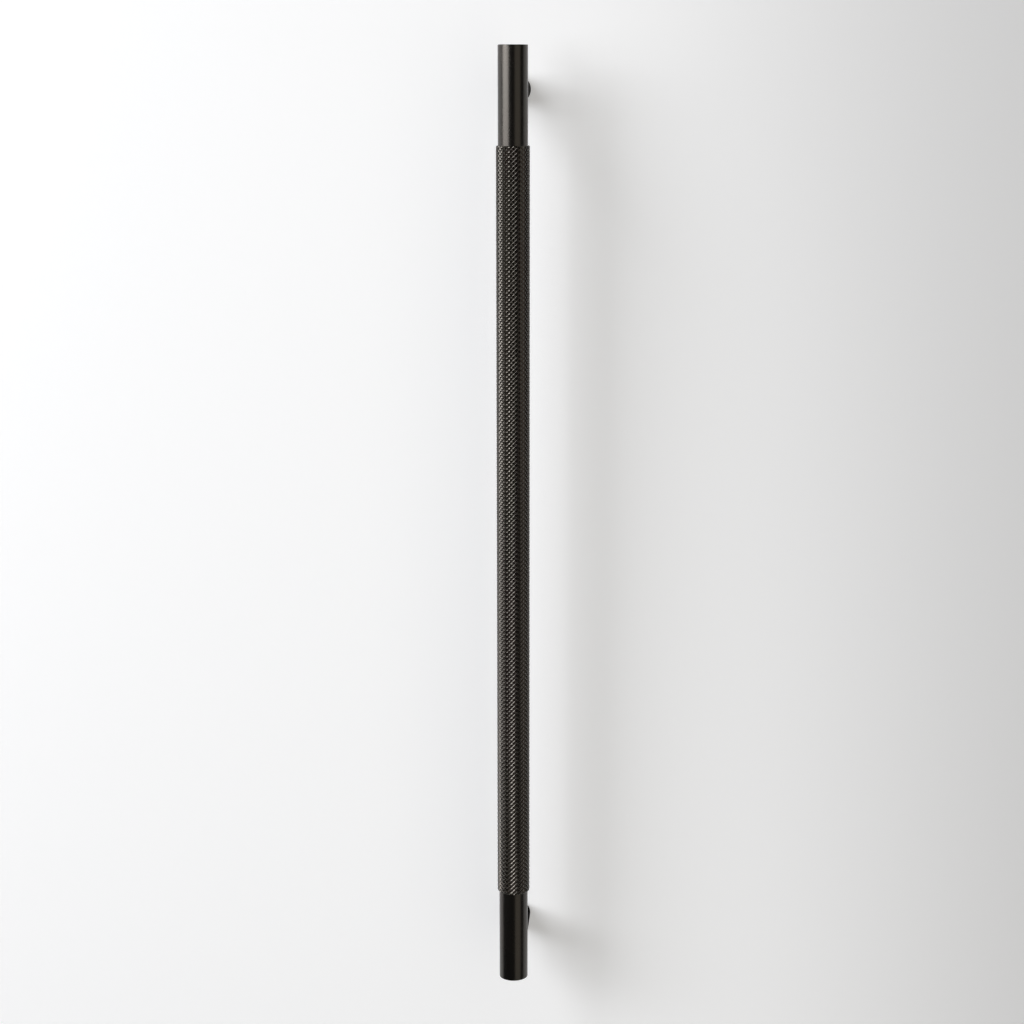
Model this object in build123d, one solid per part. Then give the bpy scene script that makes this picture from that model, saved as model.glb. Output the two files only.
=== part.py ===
from build123d import *
import os
from math import cos, pi, radians, sin, tan

# Cabinet pull: a knurled bar on two turned posts. Sizes are in millimetres and degrees.
# The door's face is the plane z = 0, and +Z points out of the door towards the hand.
# +Y runs along the bar to its upper end, and the origin is half-way between the fixing holes.

# Layout
hole_spacing = 384.0  # between the two fixing holes, a multiple of the trade's 32
bar_overhang = 19.0  # from a post's axis to the nearer end of the bar
bar_height = 30.0  # from the door's face to the bar's axis

# Bar
end_diameter = 13.0  # smooth turned ends
end_length = 42.3
end_chamfer = 0.3

# Knurled grip
grip_diameter = 14.7  # over the points of the knurl
groove_depth = 0.5
groove_starts = 12  # helical grooves of each hand
groove_angle = 45.0  # between a groove and the bar's axis
grip_chamfer = 0.4  # length of the chamfer where the knurl runs out

# Posts
post_diameter = 12.0
foot_chamfer = 0.3
seat_clearance = 0.05  # between the bar and the saddle that holds it
seat_wrap = 60.0  # how far the saddle reaches round the bar on each side

# Fixing holes, tapped M4 from the door's side
fixing_diameter = 3.3  # between the crests of the thread
fixing_depth = 10.0

# Studs that join posts and bar, M5 socket set screws
stud_diameter = 5.0
stud_length = 10.0
stud_depth_in_bar = 5.0
stud_clearance = 0.1  # in the thread, on the radius
stud_end_gap = 0.4  # between the stud and the bottom of each hole
stud_chamfer = 0.6
socket_across_flats = 2.5
socket_depth = 2.5

# All tapped holes are blind, with a lead-in at the mouth and the drill's cone at the bottom
hole_countersink = 0.5
drill_point_angle = 118.0

# Values that follow from the sizes above
bar_length = hole_spacing + 2 * bar_overhang
end_radius = end_diameter / 2
grip_radius = grip_diameter / 2
floor_radius = grip_radius - groove_depth
knurl_length = bar_length - 2 * end_length - 2 * grip_chamfer
bar_back = bar_height - end_radius
seat_radius = end_radius + seat_clearance
seat_bottom = bar_height - seat_radius
stud_bottom = bar_back + stud_depth_in_bar - stud_length
stud_hole_diameter = stud_diameter + 2 * stud_clearance
post_places = {"upper": hole_spacing / 2, "lower": -hole_spacing / 2}

# The knurl is laid out in diamond cells. Points and groove crossings take turns along each
# ring, and each ring is turned by half a cell from the one before it.
half_cells_round = 2 * groove_starts
cell_width = pi * grip_diameter / groove_starts
cells_along = round(knurl_length * tan(radians(groove_angle)) / cell_width)
cell_length = knurl_length / cells_along


def knurl_vertex(column, ring):
    """Return a vertex of the knurl: a point of a diamond, or a crossing of two grooves."""
    is_point = (column + ring) % 2 == 1
    radius = grip_radius if is_point else floor_radius
    angle = column * pi / groove_starts
    y = (ring * cell_length - knurl_length) / 2
    return Vector(radius * sin(angle), y, bar_height + radius * cos(angle))


def shoulder_vertex(column, side):
    """Return a vertex of the shoulder ring at the foot of the run-out chamfer."""
    angle = column * pi / groove_starts
    y = side * (knurl_length / 2 + grip_chamfer)
    return Vector(floor_radius * sin(angle), y, bar_height + floor_radius * cos(angle))


def facet(*corners):
    """Return the flat face between corners."""
    return Face(Wire.make_polygon(corners, close=True))


def knurl_band():
    """Return one ring of diamonds, a full cell long, as a shell of flat facets."""
    facets = []
    for column in range(half_cells_round):
        for ring in (0, 1):
            # The diamond's point is on this ring or on the next, and both have two facets here.
            is_point = (column + ring) % 2 == 1
            near = knurl_vertex(column, ring + (0 if is_point else 1))
            far = knurl_vertex(column, ring + (1 if is_point else 0))
            for step in (-1, 1):
                side = knurl_vertex(column + step, ring + (0 if is_point else 1))
                facets.append(facet(near, side, far))
    return Shell(facets)


def run_out_facets(side):
    """Return the chamfer at one end of the knurl, from the last ring down to the shoulder."""
    last_ring = 2 * cells_along if side > 0 else 0
    facets = []
    for column in range(half_cells_round):
        near = knurl_vertex(column, last_ring)
        near_next = knurl_vertex(column + 1, last_ring)
        foot = shoulder_vertex(column, side)
        foot_next = shoulder_vertex(column + 1, side)
        facets.append(facet(near, near_next, foot_next))
        facets.append(facet(near, foot_next, foot))
    shoulder = [shoulder_vertex(column, side) for column in range(half_cells_round)]
    facets.append(facet(*shoulder))
    return facets


def knurled_grip():
    """Return the grip: a band of diamonds repeated along the bar and closed at both ends."""
    band = knurl_band()
    facets = run_out_facets(-1) + run_out_facets(1)
    for cell in range(cells_along):
        facets += band.moved(Location((0, cell * cell_length, 0))).faces()
    return Solid(Shell(facets))


def drilled_hole(diameter, depth):
    """Return a cutter that runs down -Z from its mouth at the origin, to a drilled cone."""
    radius = diameter / 2
    mouth_radius = radius + hole_countersink
    clear_of_mouth = 1.0
    point_depth = radius / tan(radians(drill_point_angle / 2))
    outline = Polyline(
        (0, clear_of_mouth),
        (mouth_radius, clear_of_mouth),
        (mouth_radius, 0),
        (radius, -hole_countersink),
        (radius, -depth),
        (0, -depth - point_depth),
        close=True,
    )
    return revolve(Plane.XZ * make_face(outline), Axis.Z)


def smooth_end(side):
    """Return one turned end of the bar, with the tapped hole for its stud at the back."""
    middle = side * (bar_length - end_length) / 2
    rod = Pos(0, middle, bar_height) * Rot(X=90) * Cylinder(end_radius, end_length)
    outer_rim = rod.edges().filter_by(GeomType.CIRCLE).sort_by(Axis.Y)[-1 if side > 0 else 0]
    rod = chamfer(outer_rim, end_chamfer)
    hole = drilled_hole(stud_hole_diameter, stud_depth_in_bar + stud_end_gap)
    return rod - Pos(0, side * hole_spacing / 2, bar_back) * Rot(X=180) * hole


def bar():
    """Return the bar: one rod, knurled between its two smooth ends."""
    return knurled_grip().fuse(smooth_end(-1).solid(), smooth_end(1).solid())


def post():
    """Return a post on the origin: round, with a saddle for the bar and two tapped holes."""
    radius = post_diameter / 2
    rim_height = bar_height - seat_radius * cos(radians(seat_wrap))
    body = Cylinder(radius, rim_height, align=(Align.CENTER, Align.CENTER, Align.MIN))
    body = chamfer(body.edges().group_by(Axis.Z)[0], foot_chamfer)
    saddle = Pos(0, 0, bar_height) * Rot(X=90) * Cylinder(seat_radius, 2 * post_diameter)
    stud_hole = drilled_hole(stud_hole_diameter, seat_bottom - stud_bottom + stud_end_gap)
    fixing_hole = drilled_hole(fixing_diameter, fixing_depth)
    return body - saddle - Pos(0, 0, seat_bottom) * stud_hole - Rot(X=180) * fixing_hole


def stud():
    """Return a socket set screw on the origin, its hexagon socket towards the door."""
    body = Cylinder(stud_diameter / 2, stud_length, align=(Align.CENTER, Align.CENTER, Align.MIN))
    body = chamfer(body.edges().filter_by(GeomType.CIRCLE), stud_chamfer)
    hexagon = RegularPolygon(socket_across_flats / 2, 6, major_radius=False)
    return body - extrude(hexagon, socket_depth)


os.makedirs("parts", exist_ok=True)
export_step(bar(), "parts/bar.step")
for name, y in post_places.items():
    export_step(Pos(0, y, 0) * post(), f"parts/{name}_post.step")
    export_step(Pos(0, y, stud_bottom) * stud(), f"parts/{name}_stud.step")
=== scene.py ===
"""Looks of a knurled cabinet pull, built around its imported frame.

The pull stands on its two feet on the plane z = 0, which is the door's face. +Z points out of
the door and +Y runs along the bar to its upper end. Lengths are in metres.
"""

import logging
import math
from abc import ABC, abstractmethod
from dataclasses import dataclass, field
from enum import Enum

import bmesh
import bpy
from mathutils import Matrix, Vector


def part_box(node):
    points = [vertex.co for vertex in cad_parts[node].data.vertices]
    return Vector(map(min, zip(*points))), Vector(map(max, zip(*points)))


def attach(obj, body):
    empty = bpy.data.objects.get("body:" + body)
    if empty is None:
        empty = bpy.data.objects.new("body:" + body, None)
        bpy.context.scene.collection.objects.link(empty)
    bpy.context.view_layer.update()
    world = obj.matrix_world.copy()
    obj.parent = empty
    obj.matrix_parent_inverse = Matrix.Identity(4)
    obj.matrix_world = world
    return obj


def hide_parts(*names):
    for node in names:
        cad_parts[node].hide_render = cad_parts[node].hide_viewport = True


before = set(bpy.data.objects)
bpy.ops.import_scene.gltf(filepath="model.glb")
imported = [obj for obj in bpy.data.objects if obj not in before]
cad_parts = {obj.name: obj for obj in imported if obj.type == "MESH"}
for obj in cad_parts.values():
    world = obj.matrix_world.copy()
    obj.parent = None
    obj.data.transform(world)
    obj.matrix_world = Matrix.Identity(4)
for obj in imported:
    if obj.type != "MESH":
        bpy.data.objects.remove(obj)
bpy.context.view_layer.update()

log = logging.getLogger("cabinet_pull")

MM = 0.001
WELD = 0.001 * MM  # corners nearer to each other than this are one corner
CREASE = math.radians(13)  # an edge that turns by more than this stays sharp
ROUND_SEGMENTS = 144
HOLE_SEGMENTS = 96
RIM_STEPS = 8
BODY = "root"


class Solver(Enum):
    """How two closed meshes are combined."""

    JOIN = "UNION"
    CUT = "DIFFERENCE"
    TRIM = "INTERSECT"


class Turning(Enum):
    """The axis that a turned piece was spun about, and so the way its tool marks run."""

    BAR = "Y"
    POST = "Z"

    def stand(self, centre: Vector) -> Matrix:
        """Give the move that takes a mesh made about Z to this axis.

        Args:
            centre: where the mesh's own origin goes.

        Returns:
            The move.
        """
        tilt = -90 if self is Turning.BAR else 0
        return Matrix.Translation(centre) @ Matrix.Rotation(math.radians(tilt), 4, "X")


def linear(hex_colour: str) -> tuple[float, float, float, float]:
    """Turn an sRGB colour into the linear one that Blender's sockets hold.

    Args:
        hex_colour: six hex digits with a leading hash.

    Returns:
        Linear red, green, blue and an alpha of 1.
    """
    parts = [int(hex_colour[i : i + 2], 16) / 255 for i in (1, 3, 5)]
    red, green, blue = (c / 12.92 if c <= 0.04045 else ((c + 0.055) / 1.055) ** 2.4 for c in parts)
    return red, green, blue, 1.0


def add_node(tree: bpy.types.NodeTree, kind: str, settings: dict | None = None,
             inputs: dict | None = None) -> bpy.types.Node:
    """Add a node with its settings and the values of its inputs or the links into them.

    Args:
        tree: the node tree.
        kind: the node's type name.
        settings: names of the node's options, with their values.
        inputs: input names or numbers, each with a value or the output socket that feeds it.

    Returns:
        The new node.
    """
    node = tree.nodes.new(kind)
    for name, value in (settings or {}).items():
        setattr(node, name, value)
    for key, value in (inputs or {}).items():
        if isinstance(value, bpy.types.NodeSocket):
            tree.links.new(value, node.inputs[key])
        else:
            node.inputs[key].default_value = value
    return node


def new_material(name: str) -> bpy.types.Material:
    """Add a material with an empty node tree.

    Args:
        name: the material's name.

    Returns:
        The material.
    """
    material = bpy.data.materials.new(name)
    material.use_nodes = True
    material.node_tree.nodes.clear()
    return material


def new_object(name: str, mesh: bpy.types.Mesh) -> bpy.types.Object:
    """Link a new object that shows a mesh, at the origin and unturned.

    Args:
        name: the object's name.
        mesh: the mesh.

    Returns:
        The object.
    """
    piece = bpy.data.objects.new(name, mesh)
    bpy.context.scene.collection.objects.link(piece)
    return piece


def plain_mesh(piece: bpy.types.Object) -> None:
    """Replace a piece's mesh by its evaluated one and drop its modifiers.

    Args:
        piece: the piece.
    """
    bpy.context.view_layer.update()
    evaluated = piece.evaluated_get(bpy.context.evaluated_depsgraph_get())
    mesh = bpy.data.meshes.new_from_object(evaluated)
    piece.modifiers.clear()
    piece.data = mesh
    mesh.name = piece.name


def rounded_rim(radius: float, end: float, fillet: float) -> list[tuple[float, float]]:
    """Outline a rounded rim from an end face out to the wall below it.

    Args:
        radius: the wall's radius.
        end: place of the end face along the axis.
        fillet: radius of the rounding.

    Returns:
        (radius, place along the axis) pairs.
    """
    turns = [math.pi / 2 * i / RIM_STEPS for i in range(RIM_STEPS + 1)]
    return [(radius - fillet * (1 - math.sin(t)), end - fillet * (1 - math.cos(t))) for t in turns]


def mirrored(upper: list[tuple[float, float]]) -> list[tuple[float, float]]:
    """Complete the outline of a turned piece whose two ends are alike.

    Args:
        upper: the upper half's (radius, place along the axis) pairs, from the end down.

    Returns:
        The pairs of the whole outline.
    """
    return upper + [(radius, -along) for radius, along in reversed(upper)]


def turned_piece(name: str, outline: list[tuple[float, float]], axis: Turning, centre: Vector,
                 segments: int = ROUND_SEGMENTS) -> bpy.types.Object:
    """Turn an outline about an axis into a closed piece.

    Args:
        name: the piece's name.
        outline: (radius, place along the axis) pairs in order along the axis, with a
            radius of 0 at both ends.
        axis: the axis that the outline turns about.
        centre: a point on that axis, where the place along it is 0.
        segments: how many flats stand for the round.

    Returns:
        The turned object.
    """
    maker = bmesh.new()
    rings = []
    for radius, along in outline:
        angles = [2 * math.pi * i / segments for i in range(segments if radius else 1)]
        rings.append([maker.verts.new((radius * math.cos(a), radius * math.sin(a), along))
                      for a in angles])
    for low, high in zip(rings, rings[1:]):
        for i in range(segments):
            j = (i + 1) % segments
            corners = [low[i % len(low)], low[j % len(low)],
                       high[j % len(high)], high[i % len(high)]]
            maker.faces.new(list(dict.fromkeys(corners)))
    maker.transform(axis.stand(centre))
    bmesh.ops.recalc_face_normals(maker, faces=maker.faces)
    mesh = bpy.data.meshes.new(name)
    maker.to_mesh(mesh)
    maker.free()
    return new_object(name, mesh)


def combine(piece: bpy.types.Object, other: bpy.types.Object, how: Solver) -> None:
    """Combine a closed piece with another closed one, which is used up.

    Args:
        piece: the piece that is kept.
        other: the piece that is joined to it, cut from it or trims it.
        how: the way they are combined.
    """
    modifier = piece.modifiers.new("combine", "BOOLEAN")
    modifier.operation = how.value
    modifier.solver = "MANIFOLD"
    modifier.object = other
    plain_mesh(piece)
    bpy.data.objects.remove(other)


def dress(piece: bpy.types.Object, material: bpy.types.Material, node: str) -> None:
    """Shade a finished piece, give it its material and body, and hide the CAD node that it stands
    for.

    Args:
        piece: the piece.
        material: its material.
        node: the CAD node that the piece stands for.
    """
    maker = bmesh.new()
    maker.from_mesh(piece.data)
    bmesh.ops.remove_doubles(maker, verts=maker.verts, dist=WELD)
    bmesh.ops.dissolve_degenerate(maker, edges=maker.edges, dist=WELD)
    maker.to_mesh(piece.data)
    maker.free()
    piece.data.shade_smooth()
    piece.data.set_sharp_from_angle(angle=CREASE)
    piece.data.materials.clear()
    piece.data.materials.append(material)
    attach(piece, BODY)
    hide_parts(node)
    log.info("%s stands for %s with %d faces", piece.name, node, len(piece.data.polygons))


@dataclass
class WrappedRelief(ABC):
    """A relief that is laid out flat, wrapped round an axis and closed to a solid.

    On the flat sheet X runs round the axis, Y along it, and Z outwards from the relief's floor.
    """

    name: str
    radius: float
    depth: float
    length: float

    @abstractmethod
    def sizes(self) -> dict[str, float | int | tuple]:
        """Give the layout's own sizes.

        Returns:
            Each size under the name of its input.
        """

    @abstractmethod
    def lay_out(self, tree: bpy.types.NodeTree, given: dict) -> bpy.types.NodeSocket:
        """Lay the relief out on its flat sheet.

        Args:
            tree: the node tree.
            given: the output socket of each named input.

        Returns:
            The sheet's geometry socket.
        """

    def _inputs(self) -> dict[str, float | int | tuple]:
        """Give the values of all the tree's inputs.

        Returns:
            Each value under the name of its input.
        """
        return {"Crest Radius": self.radius, "Floor Radius": self.radius - self.depth,
                "Pole": (0.0, 0.0, self.length), **self.sizes()}

    def _wrap(self, tree: bpy.types.NodeTree, given: dict,
              sheet: bpy.types.NodeSocket) -> bpy.types.NodeSocket:
        """Wrap the flat sheet round the Z axis.

        Args:
            tree: the node tree.
            given: the output socket of each named input.
            sheet: the sheet's geometry socket.

        Returns:
            The sleeve's geometry socket.
        """
        place = add_node(tree, "GeometryNodeInputPosition")
        flat = add_node(tree, "ShaderNodeSeparateXYZ", {}, {0: place.outputs[0]}).outputs
        turn = add_node(tree, "ShaderNodeMath", {"operation": "DIVIDE"},
                        {0: flat["X"], 1: given["Crest Radius"]})
        reach = add_node(tree, "ShaderNodeMath", {"operation": "ADD"},
                         {0: flat["Z"], 1: given["Floor Radius"]})
        spoke = add_node(tree, "ShaderNodeCombineXYZ", {}, {"X": reach.outputs[0], "Z": flat["Y"]})
        turned = add_node(tree, "ShaderNodeVectorRotate", {"rotation_type": "Z_AXIS"},
                          {"Vector": spoke.outputs[0], "Angle": turn.outputs[0]})
        wrapped = add_node(tree, "GeometryNodeSetPosition", {},
                           {"Geometry": sheet, "Position": turned.outputs[0]})
        return wrapped.outputs[0]

    def _close(self, tree: bpy.types.NodeTree, given: dict,
               sleeve: bpy.types.NodeSocket) -> bpy.types.NodeSocket:
        """Close the sleeve by drawing the rim at each end in to a pole on the axis.

        Args:
            tree: the node tree.
            given: the output socket of each named input.
            sleeve: the sleeve's geometry socket.

        Returns:
            The closed solid's geometry socket.
        """
        # An edge of the rim has one face, and every other edge has two.
        neighbours = add_node(tree, "GeometryNodeInputMeshEdgeNeighbors")
        rim = add_node(tree, "ShaderNodeMath", {"operation": "SUBTRACT"},
                       {0: 2.0, 1: neighbours.outputs["Face Count"]})
        drawn = add_node(tree, "GeometryNodeExtrudeMesh", {"mode": "EDGES"},
                         {"Mesh": sleeve, "Selection": rim.outputs[0], "Offset Scale": 0.0})
        place = add_node(tree, "GeometryNodeInputPosition")
        side = add_node(tree, "ShaderNodeVectorMath", {"operation": "SIGN"}, {0: place.outputs[0]})
        pole = add_node(tree, "ShaderNodeVectorMath", {"operation": "MULTIPLY"},
                        {0: side.outputs[0], 1: given["Pole"]})
        closed = add_node(tree, "GeometryNodeSetPosition", {},
                          {"Geometry": drawn.outputs["Mesh"], "Selection": drawn.outputs["Top"],
                           "Position": pole.outputs[0]})
        return closed.outputs[0]

    def _tree(self, material: bpy.types.Material) -> bpy.types.NodeTree:
        """Build the node tree that makes the relief.

        Args:
            material: the material that the tree sets.

        Returns:
            The tree.
        """
        kinds = {int: "NodeSocketInt", float: "NodeSocketFloat", tuple: "NodeSocketVector"}
        tree = bpy.data.node_groups.new(self.name, "GeometryNodeTree")
        tree.is_modifier = True
        tree.interface.new_socket("Geometry", in_out="OUTPUT", socket_type="NodeSocketGeometry")
        for name, value in self._inputs().items():
            tree.interface.new_socket(name, in_out="INPUT", socket_type=kinds[type(value)])
        given = {socket.name: socket for socket in add_node(tree, "NodeGroupInput").outputs}
        sheet = add_node(tree, "GeometryNodeRealizeInstances", {}, {0: self.lay_out(tree, given)})
        shape = sheet.outputs[0]
        for stage in (self._wrap, self._close):
            welded = add_node(tree, "GeometryNodeMergeByDistance", {},
                              {"Geometry": stage(tree, given, shape), "Distance": WELD})
            shape = welded.outputs[0]
        real = add_node(tree, "GeometryNodeRealizeInstances", {}, {0: shape})
        dressed = add_node(tree, "GeometryNodeSetMaterial", {},
                           {"Geometry": real.outputs[0], "Material": material})
        add_node(tree, "NodeGroupOutput", {}, {0: dressed.outputs[0]})
        return tree

    def build(self, material: bpy.types.Material, axis: Turning,
              centre: Vector) -> bpy.types.Object:
        """Make the relief as a closed mesh, a little longer than asked.

        Args:
            material: the piece's material.
            axis: the axis that the relief goes round.
            centre: the middle of its length.

        Returns:
            The relief's object.
        """
        piece = new_object(self.name, bpy.data.meshes.new(self.name))
        modifier = piece.modifiers.new(self.name, "NODES")
        modifier.node_group = self._tree(material)
        values = self._inputs()
        for item in modifier.node_group.interface.items_tree:
            if item.in_out == "INPUT":
                modifier[item.identifier] = values[item.name]
        plain_mesh(piece)
        piece.data.transform(axis.stand(centre))
        return piece


@dataclass
class Knurl(WrappedRelief):
    """The diamond knurl of the grip: crossing grooves of both hands that leave small pyramids.

    Each pyramid has steep flanks that break to flatter ones near its tip, where the knurling
    wheels and the polish before plating took the sharpness off.
    """

    starts: int = 22
    axial_pitch: float = 2.03 * MM
    shoulder_share: float = 0.65
    shoulder_height: float = 0.56
    tip_share: float = 0.1

    def sizes(self) -> dict[str, float | int | tuple]:
        """Give the diamonds' count and sizes, and the pyramid's profile.

        Returns:
            Each size under the name of its input.
        """
        half_width = math.pi * self.radius / self.starts
        half_length = self.axial_pitch / 2
        rings = 2 * math.ceil(self.length / self.axial_pitch) + 2
        return {
            "Starts": self.starts,
            "Rings": rings,
            "Width": 2 * half_width * (self.starts - 1),
            "Length": half_length * (rings - 1),
            "Stagger": (half_width, 0.0, 0.0),
            "Half Diamond": (half_width, half_length, 1.0),
            "Shoulder Rise": self.depth * self.shoulder_height,
            "Shoulder Share": self.shoulder_share,
            "Tip Rise": self.depth * (1 - self.shoulder_height),
            "Tip Share": self.tip_share / self.shoulder_share,
        }

    def lay_out(self, tree: bpy.types.NodeTree, given: dict) -> bpy.types.NodeSocket:
        """Lay out one flat-topped pyramid on each point of a staggered grid.

        Args:
            tree: the node tree.
            given: the output socket of each named input.

        Returns:
            The pyramids' geometry socket.
        """
        square = add_node(tree, "GeometryNodeMeshCircle", {"fill_type": "NGON"}, {"Vertices": 4})
        diamond = add_node(tree, "GeometryNodeTransform", {},
                           {"Geometry": square.outputs[0], "Scale": given["Half Diamond"]})
        pyramid, top = diamond.outputs[0], True
        for step in ("Shoulder", "Tip"):
            raised = add_node(tree, "GeometryNodeExtrudeMesh", {"mode": "FACES"},
                              {"Mesh": pyramid, "Selection": top, "Individual": False,
                               "Offset Scale": given[f"{step} Rise"]})
            top = raised.outputs["Top"]
            narrowed = add_node(tree, "GeometryNodeScaleElements", {"domain": "FACE"},
                                {"Geometry": raised.outputs["Mesh"], "Selection": top,
                                 "Scale": given[f"{step} Share"]})
            pyramid = narrowed.outputs[0]
        grid = add_node(tree, "GeometryNodeMeshGrid", {},
                        {"Size X": given["Width"], "Size Y": given["Length"],
                         "Vertices X": given["Starts"], "Vertices Y": given["Rings"]})
        index = add_node(tree, "GeometryNodeInputIndex")
        odd = add_node(tree, "ShaderNodeMath", {"operation": "FLOORED_MODULO"},
                       {0: index.outputs[0], 1: 2.0})
        shift = add_node(tree, "ShaderNodeVectorMath", {"operation": "SCALE"},
                         {0: given["Stagger"], "Scale": odd.outputs[0]})
        points = add_node(tree, "GeometryNodeSetPosition", {},
                          {"Geometry": grid.outputs["Mesh"], "Offset": shift.outputs[0]})
        spread = add_node(tree, "GeometryNodeInstanceOnPoints", {},
                          {"Points": points.outputs[0], "Instance": pyramid})
        return spread.outputs[0]


@dataclass
class ScrewThread(WrappedRelief):
    """A metric screw thread: one right-handed ridge with flats at its crest and its root."""

    pitch: float
    segments: int = 40
    rows_per_turn: int = 4
    crest_rows: int = 2

    def sizes(self) -> dict[str, float | int | tuple]:
        """Give the sheet's size, with a few rows of corners to each turn of the ridge.

        Returns:
            Each size under the name of its input.
        """
        round_axis = 2 * math.pi * self.radius
        rows = self.rows_per_turn * (math.ceil(self.length / self.pitch) + 1)
        return {
            "Columns": self.segments + 1,
            "Rows": rows,
            "Width": round_axis,
            "Length": self.pitch / self.rows_per_turn * (rows - 1),
            "Depth": self.depth,
            "Lead": self.pitch / round_axis,
        }

    def lay_out(self, tree: bpy.types.NodeTree, given: dict) -> bpy.types.NodeSocket:
        """Lay out slanting ridges, with some rows of corners high and the rest low.

        Args:
            tree: the node tree.
            given: the output socket of each named input.

        Returns:
            The ridges' geometry socket.
        """
        grid = add_node(tree, "GeometryNodeMeshGrid", {},
                        {"Size X": given["Width"], "Size Y": given["Length"],
                         "Vertices X": given["Columns"], "Vertices Y": given["Rows"]})
        index = add_node(tree, "GeometryNodeInputIndex")
        row = add_node(tree, "ShaderNodeMath", {"operation": "FLOORED_MODULO"},
                       {0: index.outputs[0], 1: float(self.rows_per_turn)})
        crest = add_node(tree, "ShaderNodeMath", {"operation": "LESS_THAN"},
                         {0: row.outputs[0], 1: self.crest_rows - 0.5})
        rise = add_node(tree, "ShaderNodeMath", {"operation": "MULTIPLY"},
                        {0: crest.outputs[0], 1: given["Depth"]})
        place = add_node(tree, "GeometryNodeInputPosition")
        across = add_node(tree, "ShaderNodeSeparateXYZ", {}, {0: place.outputs[0]})
        slant = add_node(tree, "ShaderNodeMath", {"operation": "MULTIPLY"},
                         {0: across.outputs["X"], 1: given["Lead"]})
        shift = add_node(tree, "ShaderNodeCombineXYZ", {},
                         {"Y": slant.outputs[0], "Z": rise.outputs[0]})
        ridges = add_node(tree, "GeometryNodeSetPosition", {},
                          {"Geometry": grid.outputs["Mesh"], "Offset": shift.outputs[0]})
        return ridges.outputs[0]


@dataclass(frozen=True)
class BlindHole:
    """A drilled blind hole, with a lead-in at its mouth and the drill's cone at the bottom."""

    radius: float
    depth: float
    countersink: float = 0.5 * MM
    point_angle: float = math.radians(118)
    stand_out: float = 1.0 * MM  # of the cutter, before the mouth

    def cutter(self, mouth: Vector, way: int, material: bpy.types.Material) -> bpy.types.Object:
        """Make the closed cutter of the hole.

        Args:
            mouth: the middle of the hole's mouth.
            way: 1 for a hole that runs up from its mouth, and -1 for one that runs down.
            material: the material of the piece that is cut; not used.

        Returns:
            The cutter's object.
        """
        point = self.radius / math.tan(self.point_angle / 2)
        lead_in = self.radius + self.countersink
        outline = [(0.0, -self.stand_out), (lead_in, -self.stand_out), (lead_in, 0.0),
                   (self.radius, self.countersink), (self.radius, self.depth),
                   (0.0, self.depth + point)]
        return turned_piece("hole", [(radius, way * along) for radius, along in outline],
                            Turning.POST, mouth, HOLE_SEGMENTS)


@dataclass(frozen=True)
class TappedHole(BlindHole):
    """A blind hole with its thread cut, whose radius is that of the thread's crests."""

    root_radius: float = 2.0 * MM
    pitch: float = 0.7 * MM
    plain_length: float = 1.5 * MM

    def cutter(self, mouth: Vector, way: int, material: bpy.types.Material) -> bpy.types.Object:
        """Make the closed cutter of the hole and its thread.

        Args:
            mouth: the middle of the hole's mouth.
            way: 1 for a hole that runs up from its mouth, and -1 for one that runs down.
            material: the material of the piece that is cut.

        Returns:
            The cutter's object.
        """
        cutter = super().cutter(mouth, way, material)
        length = self.depth - self.plain_length
        thread = ScrewThread("thread_groove", self.root_radius, self.root_radius - self.radius,
                             length, self.pitch)
        middle = mouth + Vector((0, 0, way * length / 2))
        combine(cutter, thread.build(material, Turning.POST, middle), Solver.JOIN)
        return cutter


@dataclass
class Bar:
    """The bar: one rod, turned down and smooth at both ends and knurled between them."""

    node: str = "bar"
    slot: str = "bar_metal"
    end_radius: float = 6.5 * MM
    end_length: float = 42.3 * MM
    end_round: float = 0.3 * MM
    run_out: float = 0.4 * MM
    knurl_depth: float = 0.332 * MM
    stud_hole: BlindHole = BlindHole(2.6 * MM, 5.4 * MM)

    def __post_init__(self) -> None:
        """Take the bar's length, height and grip radius from the frame."""
        low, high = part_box(self.node)
        self.half_length = high.y
        self.grip_radius = (high.x - low.x) / 2
        self.axis_height = (high.z + low.z) / 2
        self.half_grip = self.half_length - self.end_length
        self.middle = Vector((0, 0, self.axis_height))

    def _rod(self) -> bpy.types.Object:
        """Turn the smooth rod that runs through the whole bar, with rounded rims.

        Returns:
            The rod's object.
        """
        upper = [(0.0, self.half_length)]
        upper += rounded_rim(self.end_radius, self.half_length, self.end_round)
        return turned_piece("rod", mirrored(upper), Turning.BAR, self.middle)

    def _blank(self) -> bpy.types.Object:
        """Turn the blank that the knurl is trimmed to, with a chamfer at each end.

        Returns:
            The blank's object.
        """
        # The chamfers go on past the grip's radius, so the blank trims nothing but the ends.
        floor = self.grip_radius - self.knurl_depth
        clear = self.grip_radius + self.knurl_depth
        chamfer = self.run_out * (clear - floor) / self.knurl_depth
        upper = [(0.0, self.half_grip), (floor, self.half_grip), (clear, self.half_grip - chamfer)]
        return turned_piece("blank", mirrored(upper), Turning.BAR, self.middle)

    def build(self, material: bpy.types.Material, stud_places: list[float]) -> None:
        """Make the bar's mesh and dress it.

        Args:
            material: the bar's material.
            stud_places: y of each stud.
        """
        knurl = Knurl("knurled_bar", self.grip_radius, self.knurl_depth, 2 * self.half_grip)
        piece = knurl.build(material, Turning.BAR, self.middle)
        combine(piece, self._blank(), Solver.TRIM)
        combine(piece, self._rod(), Solver.JOIN)
        for y in stud_places:
            back = Vector((0, y, self.axis_height - self.end_radius))
            combine(piece, self.stud_hole.cutter(back, 1, material), Solver.CUT)
        dress(piece, material, self.node)


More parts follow.
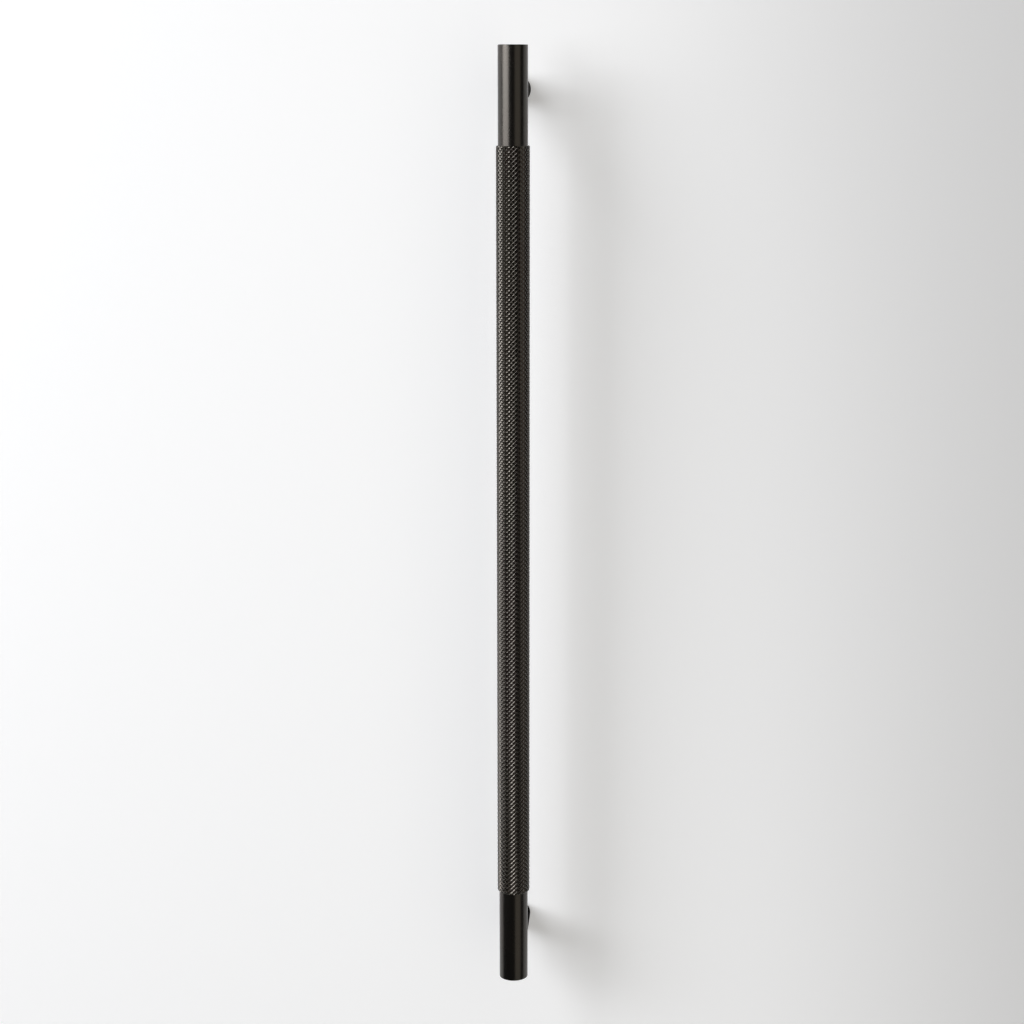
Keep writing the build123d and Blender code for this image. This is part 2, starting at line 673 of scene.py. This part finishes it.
@dataclass
class Post:
    """A turned post that carries the bar, with a saddle at its head and a tapped foot."""

    node: str
    slot: str = "post_metal"
    foot_round: float = 0.3 * MM
    seat_clearance: float = 0.05 * MM
    stud_hole: BlindHole = BlindHole(2.6 * MM, 5.35 * MM)
    fixing_hole: TappedHole = TappedHole(1.65 * MM, 10.0 * MM)

    def __post_init__(self) -> None:
        """Take the post's radius, height and place from the frame."""
        low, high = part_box(self.node)
        self.radius = (high.x - low.x) / 2
        self.height = high.z
        self.y = (high.y + low.y) / 2

    def build(self, material: bpy.types.Material, bar: Bar) -> None:
        """Make the post's mesh and dress it.

        Args:
            material: the post's material.
            bar: the bar that the post carries.
        """
        foot = Vector((0, self.y, 0))
        rim = rounded_rim(self.radius, 0.0, self.foot_round)
        outline = [(0.0, 0.0)] + [(radius, -along) for radius, along in rim]
        outline += [(self.radius, self.height), (0.0, self.height)]
        piece = turned_piece(self.node + "_turned", outline, Turning.POST, foot)
        seat_radius = bar.end_radius + self.seat_clearance
        reach = 2 * self.radius  # along the bar to each side, which is clear of the post
        saddle = mirrored([(0.0, reach), (seat_radius, reach)])
        axis = Vector((0, self.y, bar.axis_height))
        combine(piece, turned_piece("saddle", saddle, Turning.BAR, axis), Solver.CUT)
        seat = axis - Vector((0, 0, seat_radius))
        combine(piece, self.stud_hole.cutter(seat, -1, material), Solver.CUT)
        combine(piece, self.fixing_hole.cutter(foot, 1, material), Solver.CUT)
        dress(piece, material, self.node)


@dataclass
class Stud:
    """A socket set screw that joins a post to the bar."""

    node: str
    slot: str = "stud_steel"
    chamfer: float = 0.6 * MM
    thread_pitch: float = 0.8 * MM
    thread_depth: float = 0.49 * MM
    socket_across_flats: float = 2.5 * MM
    socket_depth: float = 2.5 * MM
    socket_sides: int = 6

    def __post_init__(self) -> None:
        """Take the stud's radius, length and place from the frame."""
        low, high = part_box(self.node)
        self.radius = (high.x - low.x) / 2
        self.half_length = (high.z - low.z) / 2
        self.middle = (low + high) / 2

    def build(self, material: bpy.types.Material) -> None:
        """Make the stud's mesh and dress it.

        Args:
            material: the stud's steel.
        """
        thread = ScrewThread(self.node + "_screw", self.radius, self.thread_depth,
                             2 * self.half_length, self.thread_pitch)
        piece = thread.build(material, Turning.POST, self.middle)
        narrow = self.radius - self.chamfer
        upper = [(0.0, self.half_length), (narrow, self.half_length),
                 (self.radius, self.half_length - self.chamfer)]
        blank = turned_piece("blank", mirrored(upper), Turning.POST, self.middle, HOLE_SEGMENTS)
        combine(piece, blank, Solver.TRIM)
        corner = self.socket_across_flats / 2 / math.cos(math.pi / self.socket_sides)
        socket = mirrored([(0.0, self.socket_depth), (corner, self.socket_depth)])
        mouth = self.middle - Vector((0, 0, self.half_length))
        cutter = turned_piece("socket", socket, Turning.POST, mouth, self.socket_sides)
        combine(piece, cutter, Solver.CUT)
        dress(piece, material, self.node)


@dataclass(frozen=True)
class BlackBronze:
    """Black-bronze plating on turned metal, satin.

    A thin dark metal: it has no colour of its own beside what it reflects, which it darkens and
    warms. The plating is a little uneven, in soft clouds, and the lathe leaves fine rings.
    """

    name: str
    axis: Turning
    colour: str = "#4c4a47"
    clouded: str = "#504c49"
    cloud_size: float = 25 * MM
    cloud_detail: float = 4.0
    cloud_from: float = 0.35  # the noise's values where a cloud begins and where it is full
    cloud_to: float = 0.65
    edge_tint: str = "#ffffff"
    smoothest: float = 0.26
    roughest: float = 0.285
    ring_spacing: float = 0.35 * MM  # three times the lathe's feed, so that the rings show
    ring_height: float = 0.0006 * MM
    ring_strength: float = 0.25
    ring_detail: float = 3.0
    ring_fineness: float = 0.6
    ring_stretch: float = 0.02  # across the axis, which draws the noise out into rings

    def surface(self, tree: bpy.types.NodeTree,
                place: bpy.types.NodeSocket) -> tuple[bpy.types.NodeSocket, bpy.types.NodeSocket]:
        """Colour the plating and set its gloss, both clouded.

        Args:
            tree: the node tree.
            place: the Object coordinates.

        Returns:
            The sockets of the colour and of the roughness.
        """
        noise = add_node(tree, "ShaderNodeTexNoise", {},
                         {"Vector": place, "Scale": 1 / self.cloud_size,
                          "Detail": self.cloud_detail})
        clouds = add_node(tree, "ShaderNodeMapRange", {},
                          {"Value": noise.outputs["Fac"], "From Min": self.cloud_from,
                           "From Max": self.cloud_to})
        tint = add_node(tree, "ShaderNodeMix", {"data_type": "RGBA"},
                        {"Factor": clouds.outputs[0], "A": linear(self.colour),
                         "B": linear(self.clouded)})
        gloss = add_node(tree, "ShaderNodeMix", {"data_type": "FLOAT"},
                         {"Factor": clouds.outputs[0], "A": self.smoothest, "B": self.roughest})
        return tint.outputs["Result"], gloss.outputs["Result"]

    def build(self) -> bpy.types.Material:
        """Build the material.

        Returns:
            The material.
        """
        material = new_material(self.name)
        tree = material.node_tree
        place = add_node(tree, "ShaderNodeTexCoord").outputs["Object"]
        tint, gloss = self.surface(tree, place)
        scales = {Turning.BAR: (self.ring_stretch, 1.0, self.ring_stretch),
                  Turning.POST: (self.ring_stretch, self.ring_stretch, 1.0)}
        stretched = add_node(tree, "ShaderNodeMapping", {},
                             {"Vector": place, "Scale": scales[self.axis]})
        rings = add_node(tree, "ShaderNodeTexNoise", {},
                         {"Vector": stretched.outputs[0], "Scale": 1 / self.ring_spacing,
                          "Detail": self.ring_detail, "Roughness": self.ring_fineness})
        bump = add_node(tree, "ShaderNodeBump", {},
                        {"Height": rings.outputs["Fac"], "Strength": self.ring_strength,
                         "Distance": self.ring_height})
        shader = add_node(tree, "ShaderNodeBsdfPrincipled", {},
                          {"Base Color": tint, "Metallic": 1.0, "Roughness": gloss,
                           "Specular Tint": linear(self.edge_tint), "Normal": bump.outputs[0]})
        add_node(tree, "ShaderNodeOutputMaterial", {}, {"Surface": shader.outputs[0]})
        return material


@dataclass(frozen=True)
class HandledBronze(BlackBronze):
    """Black-bronze plating that is polished where it stands out, on the diamonds of the knurl.

    The diamonds are glossier than the grooves between them, and a touch lighter, so each glints.
    """

    polished: str = "#504d49"
    glossiest: float = 0.16
    polish_from: float = 6.95 * MM  # distances from the bar's axis
    polish_to: float = 7.25 * MM
    axis_height: float = field(kw_only=True)

    def surface(self, tree: bpy.types.NodeTree,
                place: bpy.types.NodeSocket) -> tuple[bpy.types.NodeSocket, bpy.types.NodeSocket]:
        """Make the plating lighter and glossier with its distance from the bar's axis.

        Args:
            tree: the node tree.
            place: the Object coordinates.

        Returns:
            The sockets of the colour and of the roughness.
        """
        tint, gloss = super().surface(tree, place)
        # With its part along the bar taken out, the place is a spoke from the bar's axis.
        spoke = add_node(tree, "ShaderNodeMapping", {},
                         {"Vector": place, "Location": (0.0, 0.0, -self.axis_height),
                          "Scale": (1.0, 0.0, 1.0)})
        distance = add_node(tree, "ShaderNodeVectorMath", {"operation": "LENGTH"},
                            {0: spoke.outputs[0]})
        height = add_node(tree, "ShaderNodeMapRange", {},
                          {"Value": distance.outputs["Value"], "From Min": self.polish_from,
                           "From Max": self.polish_to})
        lighter = add_node(tree, "ShaderNodeMix", {"data_type": "RGBA"},
                           {"Factor": height.outputs[0], "A": tint, "B": linear(self.polished)})
        glossier = add_node(tree, "ShaderNodeMix", {"data_type": "FLOAT"},
                            {"Factor": height.outputs[0], "A": gloss, "B": self.glossiest})
        return lighter.outputs["Result"], glossier.outputs["Result"]


@dataclass(frozen=True)
class SetScrewSteel:
    """Plain steel of a set screw: mid grey, satin and a little oily.

    The film of oil is patchy, so both its grey and its gloss wander.
    """

    name: str = "plain_set_screw_steel"
    colour: str = "#a3a3a6"
    rubbed: str = "#b9b9bb"
    patch_size: float = 0.8 * MM
    patch_detail: float = 5.0
    smoothest: float = 0.32
    roughest: float = 0.5

    def build(self) -> bpy.types.Material:
        """Build the material.

        Returns:
            The material.
        """
        material = new_material(self.name)
        tree = material.node_tree
        place = add_node(tree, "ShaderNodeTexCoord").outputs["Object"]
        patches = add_node(tree, "ShaderNodeTexNoise", {},
                           {"Vector": place, "Scale": 1 / self.patch_size,
                            "Detail": self.patch_detail})
        grey = add_node(tree, "ShaderNodeMix", {"data_type": "RGBA"},
                        {"Factor": patches.outputs["Fac"], "A": linear(self.colour),
                         "B": linear(self.rubbed)})
        sheen = add_node(tree, "ShaderNodeMapRange", {},
                         {"Value": patches.outputs["Fac"], "To Min": self.roughest,
                          "To Max": self.smoothest})
        shader = add_node(tree, "ShaderNodeBsdfPrincipled", {},
                          {"Base Color": grey.outputs["Result"], "Metallic": 1.0,
                           "Roughness": sheen.outputs[0]})
        add_node(tree, "ShaderNodeOutputMaterial", {}, {"Surface": shader.outputs[0]})
        return material


@dataclass(frozen=True)
class PaintedBoard:
    """Matt painted board, with a pale ground on it whose fade across it is painted light.

    The pale ground shows to the camera, in metal and through glass, so that the shadow stays
    soft, and it gives the object no light. Its fade, from bright at the left to dim at the
    right, is painted light that falls off across the board.
    """

    name: str = "matt_painted_board"
    colour: str = "#eceef2"
    roughness: float = 0.6
    gloss: float = 0.2
    # Painted light: the pale ground's strength at the bright left and at the dim right of its
    # fade.
    painted_light_start: float = 0.31
    painted_light_end: float = 0.06
    fade_from: float = 10 * MM
    fade_to: float = 275 * MM
    fade_turn: float = math.radians(8)

    def build(self) -> bpy.types.Material:
        """Build the material.

        Returns:
            The material.
        """
        material = new_material(self.name)
        tree = material.node_tree
        turned = add_node(tree, "ShaderNodeMapping", {},
                          {"Vector": add_node(tree, "ShaderNodeTexCoord").outputs["Object"],
                           "Rotation": (0.0, 0.0, -self.fade_turn)})
        place = add_node(tree, "ShaderNodeSeparateXYZ", {}, {0: turned.outputs[0]})
        # Painted light: the pale ground fades from left to right, as light that falls off across
        # the board.
        painted_falloff = add_node(tree, "ShaderNodeMapRange", {"interpolation_type": "SMOOTHSTEP"},
                        {"Value": place.outputs["X"], "From Min": self.fade_from,
                         "From Max": self.fade_to, "To Min": self.painted_light_start,
                         "To Max": self.painted_light_end})
        path = add_node(tree, "ShaderNodeLightPath").outputs
        seen = path["Is Camera Ray"]
        for kind in ("Is Glossy Ray", "Is Transmission Ray"):
            seen = add_node(tree, "ShaderNodeMath", {"operation": "ADD", "use_clamp": True},
                            {0: seen, 1: path[kind]}).outputs[0]
        painted_light_strength = add_node(tree, "ShaderNodeMath", {"operation": "MULTIPLY"},
                            {0: seen, 1: painted_falloff.outputs[0]})
        ground = add_node(tree, "ShaderNodeEmission", {}, {"Strength": painted_light_strength.outputs[0]})
        paint = add_node(tree, "ShaderNodeBsdfPrincipled", {},
                         {"Base Color": linear(self.colour), "Roughness": self.roughness,
                          "Specular IOR Level": self.gloss})
        both = add_node(tree, "ShaderNodeAddShader", {},
                        {0: paint.outputs[0], 1: ground.outputs[0]})
        add_node(tree, "ShaderNodeOutputMaterial", {}, {"Surface": both.outputs[0]})
        return material


@dataclass(frozen=True)
class SoftBox:
    """A rectangular soft light that faces the middle of the pull.

    Its place is given as seen from there: degrees to the right of the door's normal, degrees
    above the level and metres away.
    """

    name: str
    sideways: float
    upwards: float
    distance: float
    width: float
    height: float
    radiance: float
    colour: str = "#ffffff"

    def build(self) -> None:
        """Add the light, with its width level along the door and its height up the bar."""
        light = bpy.data.lights.new(self.name, "AREA")
        light.shape = "RECTANGLE"
        light.size = self.width
        light.size_y = self.height
        # A flat lamp's power is pi times its radiance and its area.
        light.energy = self.radiance * math.pi * self.width * self.height
        light.color = linear(self.colour)[:3]
        lamp = bpy.data.objects.new(self.name, light)
        turn, rise = math.radians(self.sideways), math.radians(self.upwards)
        back = Vector((math.sin(turn) * math.cos(rise), math.sin(rise),
                       math.cos(turn) * math.cos(rise)))
        right = Vector((0, 1, 0)).cross(back).normalized()
        axes = Matrix((right, back.cross(right), back)).transposed().to_4x4()
        lamp.matrix_world = Matrix.Translation(self.distance * back) @ axes
        lamp.visible_camera = False
        bpy.context.scene.collection.objects.link(lamp)


@dataclass(frozen=True)
class Studio:
    """The pale board, the soft lights and the camera."""

    board_size: float = 12.0
    world_strength: float = 0.04
    # Each row: name, sideways, upwards, distance, width, height, radiance and colour.
    lights: tuple[SoftBox, ...] = (
        SoftBox("window", -58.6, 34.5, 3.5, 1.5, 2.75, 7.0),
        SoftBox("sill", -54.0, 11.6, 1.38, 1.25, 0.54, 3.8),
        SoftBox("ceiling", 12.0, 55.0, 2.5, 2.4, 1.2, 0.5, "#fff3e0"),
        SoftBox("ground", 12.0, -65.0, 2.5, 2.4, 1.2, 0.5, "#fff3e0"),
        SoftBox("side_card", 39.3, -4.0, 1.24, 1.0, 2.4, 0.45, "#fff7e7"),
    )
    image_px: float = 1024.0
    focal_length_px: float = 2156.7
    sensor_mm: float = 36.0
    clip_start: float = 10 * MM
    camera_distance: float = 933.8 * MM
    camera_up: float = 203.1 * MM
    camera_right: float = 61.4 * MM
    pitch: float = math.radians(11.749)
    yaw: float = math.radians(3.795)
    roll: float = math.radians(-0.058)

    def lay_board(self) -> None:
        """Lay the pale matt board that stands in for the door."""
        half = self.board_size / 2
        mesh = bpy.data.meshes.new("board")
        corners = [(-half, -half, 0), (half, -half, 0), (half, half, 0), (-half, half, 0)]
        mesh.from_pydata(corners, [], [(0, 1, 2, 3)])
        mesh.materials.append(PaintedBoard().build())
        new_object("board", mesh)

    def light(self) -> None:
        """Add the soft boxes and the dim world."""
        for box in self.lights:
            box.build()
        world = bpy.data.worlds.new("studio")
        bpy.context.scene.world = world
        world.use_nodes = True
        background = world.node_tree.nodes["Background"]
        background.inputs["Color"].default_value = linear("#ffffff")
        background.inputs["Strength"].default_value = self.world_strength

    def place_camera(self, axis_height: float) -> None:
        """Place the camera at the photograph's viewpoint.

        Args:
            axis_height: how far the bar's axis stands off the door.
        """
        data = bpy.data.cameras.new("camera")
        data.sensor_width = self.sensor_mm
        data.lens = self.sensor_mm * self.focal_length_px / self.image_px
        data.clip_start = self.clip_start
        piece = bpy.data.objects.new("camera", data)
        bpy.context.scene.collection.objects.link(piece)
        forward = Vector((-math.sin(self.yaw) * math.cos(self.pitch), -math.sin(self.pitch),
                          -math.cos(self.yaw) * math.cos(self.pitch)))
        level = Vector((math.cos(self.yaw), 0, -math.sin(self.yaw)))
        upright = level.cross(forward)
        right = math.cos(self.roll) * level + math.sin(self.roll) * upright
        up = -math.sin(self.roll) * level + math.cos(self.roll) * upright
        turn = Matrix((right, up, -forward)).transposed().to_4x4()
        place = Vector((self.camera_right, self.camera_up, axis_height + self.camera_distance))
        piece.matrix_world = Matrix.Translation(place) @ turn
        bpy.context.scene.camera = piece


def main() -> None:
    """Build the pull's pieces and the studio round them."""
    logging.basicConfig(level=logging.INFO, format="%(name)s: %(message)s")
    posts = [Post("upper_post"), Post("lower_post")]
    bar = Bar()
    bar_finish = HandledBronze("black_bronze_knurled_bar", Turning.BAR,
                               axis_height=bar.axis_height).build()
    # Painted shade: the posts' plating is drawn darker than the bar's, and its edges reflect
    # darker, for the shade at the posts' feet; it is also duller than the bar's.
    post_finish_painted_shade = BlackBronze("black_bronze_post_painted_shade", Turning.POST, colour="#33312f",
                              clouded="#393633", edge_tint="#262422", smoothest=0.38,
                              roughest=0.46).build()
    steel = SetScrewSteel().build()
    bar.build(bar_finish, [post.y for post in posts])
    for post in posts:
        post.build(post_finish_painted_shade, bar)
    for node in ("upper_stud", "lower_stud"):
        Stud(node).build(steel)
    studio = Studio()
    studio.lay_board()
    studio.light()
    studio.place_camera(bar.axis_height)
    bpy.context.scene.view_settings.view_transform = "Standard"
    bpy.context.view_layer.update()


if __name__ == "__main__":
    main()
